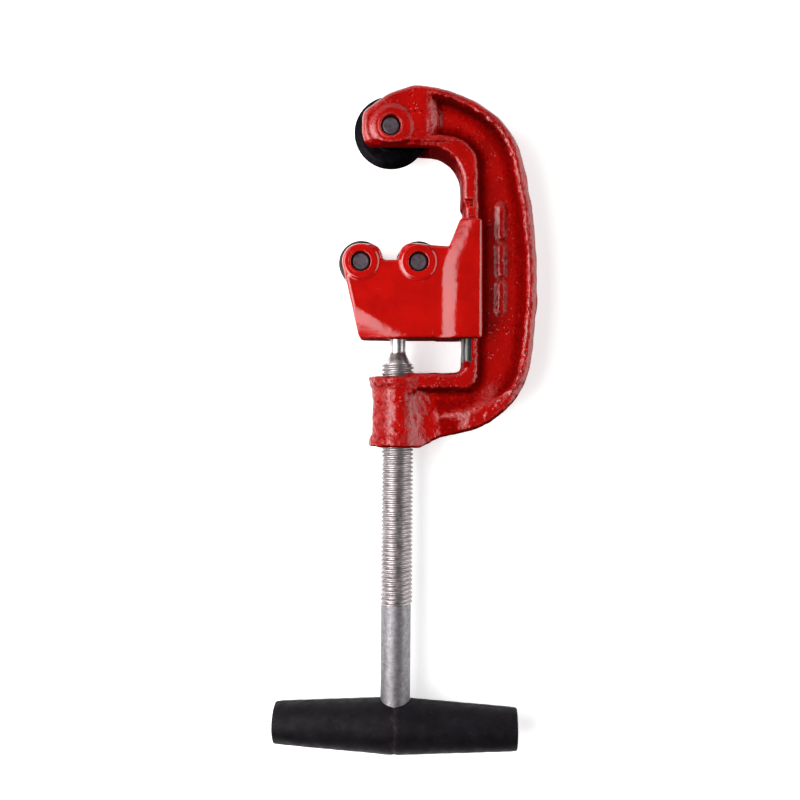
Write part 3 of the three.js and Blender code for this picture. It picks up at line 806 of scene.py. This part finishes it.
def make_frame():
    grid = Grid(FRAME_LOW, FRAME_HIGH)
    outline = grid.outline(FRAME_OUTLINE)
    up = np.abs(grid.z)
    # The rim's top falls away outwards along the right side.
    fall = 0.36 * np.maximum(outline + RIM_WIDTH, 0) * ramp(grid.x, 56, 72)
    rim_face = RIM_HALF - RIM_FACE_DROP
    field = grid.plate(outline + 0.03 * up, rim_face, RIM_EDGE)
    field = soft_max(field, 0.94 * (up - rim_face + fall), 1.5)
    hollow, dirt_and_shade = recess_field(grid, outline)
    field = soft_max(field, -hollow, 2.4)
    beside_rail = np.maximum(grid.x - 50, grid.y - 148)
    # The rail stands lower than the rim, and lower still where it is machined for the block.
    lowered = np.maximum(beside_rail, 8 - grid.y)
    field = soft_max(field, -np.maximum(lowered, RAIL_HALF + RAIL_CAST_RISE - up), 2.0)
    past_rail = grid.x - RAIL_OUTER_X
    machined = np.maximum(
        np.maximum(past_rail, MACHINED_LOW_Y - grid.y), grid.y - MACHINED_HIGH_Y)
    field = soft_max(field, -np.maximum(machined, RAIL_HALF - up), 0.3)
    notch = np.maximum(np.abs(grid.y - NOTCH_Y) - NOTCH_HALF, past_rail)
    field = soft_max(field, -np.maximum(notch, RAIL_HALF - NOTCH_DEPTH - up), 0.4)
    boss = boss_field(grid)
    field = soft_min(field, np.where(grid.x > 8, np.maximum(boss, outline), boss), 2.5)
    field = soft_min(field, raised_bars(grid), 2.8)
    collar = grid.disc(WHEEL_X + COLLAR_OFFSET, WHEEL_Y) - COLLAR_RADIUS
    collar = grid.plate(collar, RIM_HALF - 0.2, 2.0)
    field = soft_min(field, np.maximum(collar, outline + 2.5), 2.6)
    field = field + frame_lumps(grid, outline, hollow)
    along_rail = np.maximum(
        np.maximum(past_rail, MACHINED_LOW_Y - 0.5 - grid.y), grid.y - MACHINED_HIGH_Y + 1)
    field = np.maximum(field, np.where(along_rail < 0, RAIL_INNER_X - grid.x, -FAR))
    field = soft_max(field, nut_bore(grid), 0.4)
    field = soft_max(field, -wheel_slot(grid), 1.0)
    field = soft_max(field, -pin_hole(grid, WHEEL_X, WHEEL_Y, RIM_HALF), 0.3)
    # Nothing stands past the right side of the CAD model's box.
    field = np.maximum(field, grid.x - FRAME_HIGH[0] + 0.05)
    casting = mark_surface(skin("frame_casting", grid, field))
    # Painted shade on the barrel's left side, which is darker and duller there.
    dirt_and_shade = np.maximum(dirt_and_shade, 0.5 * ramp(-grid.x, 2.5, 7) * (grid.y < 17))
    # Dirt gathers where the machining of the rail ends.
    for x, y, reach in ((38.5, 21.5, 4.5), (36.5, 113, 3)):
        dirt_and_shade = np.maximum(dirt_and_shade, 0.9 * ramp(reach - np.hypot(grid.x - x, grid.y - y), 0, 3))
    # This mark holds painted shade and the real dirt at the rail's ends.
    mark(casting, "dirt_and_shade", grid.sample(dirt_and_shade, casting))
    return casting


# ---------------------------------------------------------------- block casting


def make_block():
    grid = Grid(BLOCK_LOW, BLOCK_HIGH)
    outline = grid.outline(BLOCK_OUTLINE)
    field = grid.plate(outline, BLOCK_HALF, 2.5)
    # The face falls away in a curved facet towards the lower left corner.
    to_corner = np.maximum(-0.474 * (grid.x + 26) - 0.88 * (grid.y - 55), 0)
    facet = BLOCK_HALF - 0.20 * to_corner - 0.013 * to_corner ** 2
    field = soft_max(field, 0.92 * (np.abs(grid.z) - facet), 0.3)
    for x, y in ROLLERS.values():
        collar = grid.disc(x, y) - ROLLER_COLLAR_RADIUS
        collar = grid.plate(collar, BLOCK_HALF + ROLLER_COLLAR_RISE, 1.1)
        field = soft_min(field, collar, 1.4)
    cheek = grid.plate(grid.outline(CHEEK_OUTLINE), CHEEK_HALF, 2.4)
    run = np.clip(-grid.outline(CHEEK_SLOPE_OUTLINE) / CHEEK_SLOPE_RUN, -0.5, 1)
    rise = (CHEEK_HALF - BLOCK_HALF) * (1 - (1 - run) ** 1.6)
    cheek = soft_max(cheek, 0.92 * (np.abs(grid.z) - BLOCK_HALF - rise), 0.4)
    bevel = 0.6 * (grid.x - CHEEK_BEVEL_X) + 0.8 * (np.abs(grid.z) - CHEEK_HALF)
    cheek = soft_max(cheek, bevel, 0.3)
    field = soft_min(field, cheek, 1.0)
    lumps = 0.05 * grid.noise(9.0, SEED + 2) + 0.012 * grid.noise(1.5, SEED + 3)
    calm = 1.0
    for x, y in ROLLERS.values():
        calm = calm * ramp(grid.disc(x, y), 6, 8)
    field = field + lumps * calm
    channel = grid.plate(grid.outline(CHANNEL_OUTLINE), CHANNEL_HALF, 0.5)
    field = soft_max(field, -channel, 0.6)
    middle = (ROLLERS["left"][0] + ROLLERS["right"][0]) / 2
    above = np.maximum(np.abs(grid.x - middle) - ROLLER_SLOT_REACH, ROLLER_Y - grid.y)
    around = (grid.disc(x, y) - ROLLER_RADIUS - SLOT_GAP for x, y in ROLLERS.values())
    slot = np.minimum(above, np.minimum(*around))
    field = soft_max(field, -np.maximum(slot, np.abs(grid.z) - SLOT_HALF), 1.0)
    for x, y in ROLLERS.values():
        field = soft_max(field, -pin_hole(grid, x, y, BLOCK_HALF), 0.3)
    socket = np.maximum(np.hypot(grid.x, grid.z) - NECK_RADIUS - 0.3, grid.y - SCREW_HIGH[1] - 0.3)
    field = soft_max(field, -socket, 0.4)
    pin_x, pin_y, _ = (NECK_PIN_LOW + NECK_PIN_HIGH) / 2
    pin_bore = grid.disc(pin_x, pin_y) - NECK_PIN_RADIUS - PIN_PLAY
    pin_bore = np.maximum(pin_bore, grid.z - NECK_PIN_HIGH[2])
    field = soft_max(field, -pin_bore, 0.3)
    field = np.maximum(field, BLOCK_LOW[1] - grid.y)
    field = np.maximum(field, np.abs(grid.z) - CHEEK_HALF)
    return mark_surface(skin("block_casting", grid, field))


# ---------------------------------------------------------------- wheel, rollers, pins and rings


def make_wheel():
    bore = PIN_RADIUS + PIN_PLAY
    half = [
        (bore, 0, 0),
        (bore, HUB_HALF, 0.4),
        (HUB_RADIUS - 0.8, HUB_HALF, 0.5),
        (HUB_RADIUS, HUB_HALF - 0.8, 0.4),
        (HUB_RADIUS + 0.2, 4.2, 0.8),
        (11.8, 3.1, 0.8),
        (WHEEL_RADIUS - 3.6, 2.5, 0.4),
        (WHEEL_RADIUS, 0.03, 0),
    ]
    other = [(r, -h, rounding) for r, h, rounding in reversed(half)]
    place = (WHEEL_X, WHEEL_Y, 0)
    piece = turned("wheel_blade", half + other[:-1] + [half[0]], 160, "z", place, loop=True)
    return sharpen(face_outwards(piece))


def make_roller(side):
    bore = PIN_RADIUS + PIN_PLAY
    x, y = ROLLERS[side]
    edge = ROLLER_RADIUS
    corners = [
        (bore, -HUB_HALF, 0),
        (edge - ROLLER_CHAMFER, -HUB_HALF, 0.3),
        (edge, -HUB_HALF + ROLLER_CHAMFER, 0.5),
        (edge, HUB_HALF - ROLLER_CHAMFER, 0.5),
        (edge - ROLLER_CHAMFER, HUB_HALF, 0.3),
        (bore + 0.4, HUB_HALF, 0.2),
        (bore, HUB_HALF - 0.4, 0.2),
        (bore, -HUB_HALF, 0),
    ]
    piece = turned(f"{side}_roller_sleeve", corners, 128, "z", (x, y, 0), loop=True)
    return sharpen(face_outwards(piece))


def make_pin(name, x, y, face_half):
    """A headed pin with a slightly dished front end and the groove for its ring."""
    under = -face_half - 0.1
    groove = face_half - RING_DEPTH
    groove_radius = PIN_RADIUS - RING_GROOVE_DEPTH
    front = face_half - PIN_RECESS
    corners = [
        (0, under - PIN_HEAD_HEIGHT, 0),
        (PIN_HEAD_RADIUS - 0.5, under - PIN_HEAD_HEIGHT, 0.8),
        (PIN_HEAD_RADIUS, under - PIN_HEAD_HEIGHT + 0.7, 0.5),
        (PIN_HEAD_RADIUS, under, 0.2),
        (PIN_RADIUS, under, 0.1),
        (PIN_RADIUS, groove - 0.6, 0.1),
        (groove_radius, groove - 0.55, 0.1),
        (groove_radius, groove + 0.55, 0.1),
        (PIN_RADIUS, groove + 0.6, 0.1),
        (PIN_RADIUS, front - 0.5, 0.3),
        (PIN_RADIUS - 0.5, front, 0.3),
        (PIN_RADIUS - 1.6, front - 0.1, 0.6),
        (0, front - 0.15, 0),
    ]
    return sharpen(face_outwards(turned(name, corners, 96, "z", (x, y, 0), 1.2)))


def make_ring(name, x, y, z):
    """A split ring of round wire, open on one side."""
    steps, sides, wire = 72, 12, RING_WIRE_RADIUS
    radius = PIN_RADIUS + PIN_PLAY
    opening = RING_GAP_ANGLE
    turn = opening / 2 + (2 * np.pi - opening) * np.arange(steps) / (steps - 1)
    around = 2 * np.pi * np.arange(sides) / sides
    reach = radius + wire * np.cos(around)[None, :]
    points = np.stack((
        x + reach * np.cos(turn)[:, None],
        y + reach * np.sin(turn)[:, None],
        z + np.repeat(wire * np.sin(around)[None, :], steps, axis=0),
    ), axis=2).reshape(-1, 3)
    faces = [list(range(sides))[::-1], [(steps - 1) * sides + k for k in range(sides)]]
    for row in range(steps - 1):
        for side in range(sides):
            after = (side + 1) % sides
            low, high = row * sides, (row + 1) * sides
            faces.append([low + side, low + after, high + after, high + side])
    return sharpen(face_outwards(add_mesh(name, points, faces)), 60)


# ---------------------------------------------------------------- screw and handle


def turn_handle(points):
    """Turns points about the screw, to where the handle and its pin stand at rest."""
    c, s = math.cos(-HANDLE_TURN), math.sin(-HANDLE_TURN)
    x, y, z = points.T
    return np.stack((c * x + s * z, y, -s * x + c * z), axis=1)


def make_thread():
    """The right-hand thread, as rows along its helix, cut square at both ends."""
    sides, rows_per_turn = 72, 8
    # One turn's section, from the flat crest to the root and back: how deep, and how far along
    depths = np.array([0, 0, 0.25, 0.65, 1, 1, 0.65, 0.25])
    shape = THREAD_RADIUS - THREAD_DEPTH * depths
    at = np.array([-0.06, 0.06, 0.17, 0.32, 0.45, 0.55, 0.68, 0.83])
    low, high = THREAD_BOTTOM - 2, THREAD_TOP + 2
    turns = math.ceil((high - low) / THREAD_PITCH) + 1
    rows = turns * rows_per_turn
    row = np.arange(rows + rows_per_turn + 1)
    radius = shape[row % rows_per_turn]
    height = low - THREAD_PITCH + THREAD_PITCH * (row // rows_per_turn + at[row % rows_per_turn])
    side = np.arange(sides)
    angle = 2 * np.pi * side / sides
    y = height[:, None] + THREAD_PITCH * side[None, :] / sides
    x = radius[:, None] * np.sin(angle)[None, :]
    z = radius[:, None] * np.cos(angle)[None, :]
    points = np.stack((x, y, z), axis=2).reshape(-1, 3)

    def vertex(r, s):
        return (r + rows_per_turn * (s // sides)) * sides + s % sides

    faces = [
        [vertex(r, s), vertex(r, s + 1), vertex(r + 1, s + 1), vertex(r + 1, s)]
        for r in range(rows) for s in range(sides)
    ]
    piece = add_mesh("screw_thread", points, faces)
    for level, keep_below in ((THREAD_TOP, True), (THREAD_BOTTOM, False)):
        cut_square(piece, level, keep_below)
    return sharpen(face_outwards(piece), 50)


def cut_square(piece, level, keep_below):
    """Cuts a mesh across Y at that height, keeps one side, and closes the cut."""
    work = bmesh.new()
    work.from_mesh(piece.data)
    bmesh.ops.bisect_plane(
        work,
        geom=work.verts[:] + work.edges[:] + work.faces[:],
        plane_co=to_row([0, level, 0]),
        plane_no=(0, 1, 0),
        clear_outer=keep_below,
        clear_inner=not keep_below,
    )
    height = to_row([0, level, 0])[1]
    rim = [e for e in work.edges if e.is_boundary
           and all(abs(v.co.y - height) < 1e-6 for v in e.verts)]
    bmesh.ops.contextual_create(work, geom=rim)
    work.to_mesh(piece.data)
    work.free()


def make_neck():
    corners = [
        (0, THREAD_TOP - 3, 0),
        (CONE_RADIUS, THREAD_TOP - 3, 0.2),
        (CONE_RADIUS, THREAD_TOP + 0.1, 0.5),
        (NECK_RADIUS, CONE_TOP, 1.2),
        (NECK_RADIUS, NECK_GROOVE_LOW, 0.2),
        (NECK_GROOVE_RADIUS, NECK_GROOVE_LOW + 0.1, 0.2),
        (NECK_GROOVE_RADIUS, NECK_GROOVE_HIGH - 0.1, 0.2),
        (NECK_RADIUS, NECK_GROOVE_HIGH, 0.2),
        (NECK_RADIUS, SCREW_HIGH[1] - 0.6, 0.3),
        (NECK_RADIUS - 0.6, SCREW_HIGH[1], 0.3),
        (0, SCREW_HIGH[1], 0),
    ]
    return sharpen(face_outwards(turned("screw_neck", corners, 96, "y")))


def make_shank():
    corners = [
        (0, SCREW_LOW[1], 0),
        (SHANK_RADIUS - 0.5, SCREW_LOW[1], 0.3),
        (SHANK_RADIUS, SCREW_LOW[1] + 0.5, 0.3),
        (SHANK_RADIUS, THREAD_BOTTOM - 1, 0.4),
        (SHANK_RADIUS - 0.5, THREAD_BOTTOM + 0.6, 0.4),
        (0, THREAD_BOTTOM + 0.6, 0),
    ]
    return sharpen(face_outwards(turned("screw_shank", corners, 96, "y")))


def make_handle():
    def lumps(radius, along, angle):
        slow = 0.16 * np.sin(along / 7.3 + 2 * np.cos(angle)) * np.sin(2 * angle + 0.6)
        quick = 0.07 * np.sin(along / 2.1 + 3 * np.sin(angle * 2)) * np.cos(5 * angle + along / 5)
        seam = 0.22 * np.exp(-(np.sin(angle) * radius) ** 2)
        crease = -0.4 * np.exp(-(along / 1.3) ** 2)
        return slow + quick + seam + crease - 0.5

    end = HANDLE_HALF_LENGTH
    corners = [
        (0, -end + 0.4, 0),
        (HANDLE_END_RADIUS - 3, -end + 0.2, 2),
        (HANDLE_END_RADIUS - 0.3, -end, 2.2),
        (HANDLE_END_RADIUS + 0.2, -end + 4, 1),
        (HANDLE_MID_RADIUS, 0, 0.8),
        (HANDLE_END_RADIUS + 0.2, end - 4, 1),
        (HANDLE_END_RADIUS - 0.3, end, 2.2),
        (HANDLE_END_RADIUS - 3, end - 0.2, 2),
        (0, end - 0.4, 0),
    ]
    piece = turned("handle_casting", corners, 144, "x", (0, HANDLE_Y, 0), 0.9, lumps)
    along = np.array([vertex.co.x for vertex in piece.data.vertices]) / MM - ORIGIN.x / MM
    worn = 0.17 * np.exp(-(along / 2.5) ** 2) + 0.08 * ramp(np.abs(along), end - 3, end)
    mark(piece, "worn", worn)
    return face_outwards(tilt(piece))


def tilt(piece):
    """Turns a piece about the screw with the handle."""
    mesh = piece.data
    points = np.zeros(len(mesh.vertices) * 3)
    mesh.vertices.foreach_get("co", points)
    tool = (points.reshape(-1, 3) - np.array(ORIGIN)) / MM
    mesh.vertices.foreach_set("co", to_row(turn_handle(tool)).ravel())
    mesh.update()
    return piece


def make_plain_pin(name, radius, centre, low, high):
    corners = [
        (0, low, 0),
        (radius - 0.3, low, 0.2),
        (radius, low + 0.3, 0.2),
        (radius, high - 0.3, 0.2),
        (radius - 0.3, high, 0.2),
        (0, high, 0),
    ]
    return sharpen(face_outwards(turned(name, corners, 64, "z", centre)))


# ---------------------------------------------------------------- the object


def paint(piece, *materials):
    for material in materials:
        piece.data.materials.append(material)
    return piece


def bare_the_rail(piece):
    """The machined stretch of the rail, below and behind the block, is bare steel."""
    mesh = piece.data
    centres = np.zeros(len(mesh.polygons) * 3)
    mesh.polygons.foreach_get("center", centres)
    x, y, z = ((centres.reshape(-1, 3) - np.array(ORIGIN)) / MM).T
    ragged = 0.6 * np.sin(z * 1.7 + 1) + 0.4 * np.sin(z * 4.1)
    across = (x > RAIL_INNER_X - 0.5) & (x < RAIL_OUTER_X - 0.4)
    along = (y > MACHINED_LOW_Y - 0.5 + ragged) & (y < MACHINED_HIGH_Y - 10)
    mesh.polygons.foreach_set("material_index", (across & along).astype(np.int32))


def build_object():
    enamel = red_enamel(
        "red_enamel", (0.24, 0.0011, 0.0007), (0.36, 0.0019, 0.0010),
        roughness=0.12, peel=0.5, grit=0.9, shade=0.37)
    smooth_enamel = red_enamel(
        "red_enamel_block", (0.30, 0.0016, 0.0010), (0.385, 0.0026, 0.0012),
        roughness=0.10, peel=0.12, grit=0.08, shade=0.52)
    wheel_steel = bare_steel("wheel_steel", (0.002, 0.0016, 0.0023), (0.007, 0.006, 0.0078), 0.42)
    roller_steel = bare_steel("roller_steel", (0.022, 0.015, 0.013), (0.07, 0.052, 0.046), 0.42)
    pin_steel = bare_steel(
        "pin_steel", (0.035, 0.025, 0.031), (0.10, 0.075, 0.09), 0.5, size=0.8, metallic=0.6)
    ring_wire = bare_steel("ring_wire", (0.012, 0.012, 0.013), (0.04, 0.038, 0.04), 0.5)
    rail_steel = bare_steel(
        "rail_steel", (0.012, 0.011, 0.012), (0.12, 0.112, 0.112), 0.4, grain=(3, 0.25, 3))
    thread_steel = bare_steel(
        "thread_steel", (0.30, 0.27, 0.27), (0.54, 0.50, 0.50), 0.42, size=1.4, relief=0.02)
    neck_steel = bare_steel(
        "neck_steel", (0.44, 0.41, 0.42), (0.68, 0.64, 0.65), 0.34, grain=(0.3, 3, 0.3),
        relief=0.015)
    shank_steel = bare_steel(
        "shank_steel", (0.16, 0.153, 0.16), (0.29, 0.278, 0.292), 0.55, size=0.9, relief=0.05)
    handle_paint = black_coat("black_paint")

    casting = paint(make_frame(), enamel, rail_steel)
    bare_the_rail(casting)
    settle(casting, "frame", "red_enamel", "frame")
    settle(paint(make_block(), smooth_enamel), "slide", "red_enamel", "slide_block")
    settle(paint(make_wheel(), wheel_steel), "wheel", "wheel_steel", "cutter_wheel")

    wheel_pin = paint(make_pin("wheel_axle", WHEEL_X, WHEEL_Y, RIM_HALF), pin_steel)
    settle(wheel_pin, "frame", "pin_steel", "wheel_pin")
    ring_height = RIM_HALF - RING_DEPTH
    wheel_ring = paint(make_ring("wheel_axle_ring", WHEEL_X, WHEEL_Y, ring_height), ring_wire)
    settle(wheel_ring, "frame", "ring_wire", "wheel_pin_ring")

    for side, (x, y) in ROLLERS.items():
        roller = paint(make_roller(side), roller_steel)
        settle(roller, f"{side}_roller", "roller_steel", f"roller_{side}")
        axle = paint(make_pin(f"{side}_roller_axle", x, y, BLOCK_HALF), pin_steel)
        settle(axle, "slide", "pin_steel", f"roller_pin_{side}")
        ring_height = BLOCK_HALF - RING_DEPTH
        ring = paint(make_ring(f"{side}_roller_axle_ring", x, y, ring_height), ring_wire)
        settle(ring, "slide", "ring_wire", f"roller_pin_ring_{side}")

    neck_x, neck_y, _ = (NECK_PIN_LOW + NECK_PIN_HIGH) / 2
    neck_place = (neck_x, neck_y, 0)
    neck_pin = make_plain_pin(
        "neck_keeper", NECK_PIN_RADIUS, neck_place, NECK_PIN_LOW[2], NECK_PIN_HIGH[2])
    settle(paint(neck_pin, pin_steel), "slide", "pin_steel", "neck_pin")

    settle(paint(make_thread(), thread_steel), "screw", "screw_steel", "feed_screw")
    settle(paint(make_neck(), neck_steel), "screw", "screw_steel", "feed_screw")
    settle(paint(make_shank(), shank_steel), "screw", "screw_steel", "feed_screw")
    settle(paint(make_handle(), handle_paint), "screw", "black_paint", "t_handle")
    handle_pin_back = HANDLE_PIN_RECESS - HANDLE_MID_RADIUS
    handle_pin = tilt(make_plain_pin(
        "handle_keeper", HANDLE_PIN_RADIUS, (0, HANDLE_Y, 0), handle_pin_back, HANDLE_PIN_FRONT))
    settle(paint(handle_pin, pin_steel), "screw", "pin_steel", "handle_pin")


# ---------------------------------------------------------------- floor, light and camera


FLOOR_REACH = 3000


def make_floor():
    corners = ((-1, -1), (1, -1), (1, 1), (-1, 1))
    points = [(FLOOR_REACH * x, FLOOR_REACH * y, 0) for x, y in corners]
    floor = add_mesh("floor", points, [(0, 1, 2, 3)])
    floor.location.z = -ORIGIN.z
    recipe = Recipe("pale_floor", Roughness=0.9, Specular_IOR_Level=0.1)
    recipe.feed("Base Color", recipe.stops(recipe.noise(300, 2), (0.3, 0.90), (0.7, 0.92)))
    recipe.shader.inputs["Emission Color"].default_value = (1, 1, 1, 1)
    recipe.shader.inputs["Emission Strength"].default_value = 0.5
    floor.data.materials.append(recipe.material)


def add_softbox(name, place, width, height, power):
    """A rectangular lamp of that size in metres, aimed at the object, with its power in watts."""
    light = bpy.data.lights.new(name, "AREA")
    light.shape = "RECTANGLE"
    light.size = width
    light.size_y = height
    light.energy = power
    box = bpy.data.objects.new(name, light)
    box.location = place
    box.rotation_euler = (Vector() - Vector(place)).to_track_quat("-Z", "Y").to_euler()
    bpy.context.scene.collection.objects.link(box)


def make_light():
    add_softbox("left_key", (-0.50, 0.0, 0.42), width=0.80, height=0.30, power=6.4)
    add_softbox("left_high", (-0.31, 0.0, 0.58), width=0.70, height=0.30, power=3.0)
    add_softbox("low_right", (1.0, 0.1, 0.38), width=1.6, height=0.6, power=10)
    add_softbox("low_top", (-0.1, 1.1, 0.5), width=1.4, height=0.5, power=2)
    world = bpy.data.worlds.new("studio")
    bpy.context.scene.world = world
    world.use_nodes = True
    world.node_tree.nodes["Background"].inputs["Color"].default_value = (1, 1, 1, 1)
    world.node_tree.nodes["Background"].inputs["Strength"].default_value = 0.04


# The camera looks straight down. FIELD_WIDTH is what it takes in at the middle plane.
CAMERA_DISTANCE = 523
FIELD_WIDTH = 470.4
CAMERA_X = 1.485
CAMERA_ROLL = math.radians(0.447)


def make_camera():
    lens = bpy.data.cameras.new("camera")
    lens.sensor_width = 36
    lens.lens = lens.sensor_width * CAMERA_DISTANCE / FIELD_WIDTH
    camera = bpy.data.objects.new("camera", lens)
    camera.location = to_row([CAMERA_X, 0, CAMERA_DISTANCE])
    camera.rotation_euler = (0, 0, CAMERA_ROLL)
    bpy.context.scene.collection.objects.link(camera)
    bpy.context.scene.camera = camera


build_object()
make_floor()
make_light()
make_camera()
bpy.context.scene.view_settings.view_transform = "Standard"
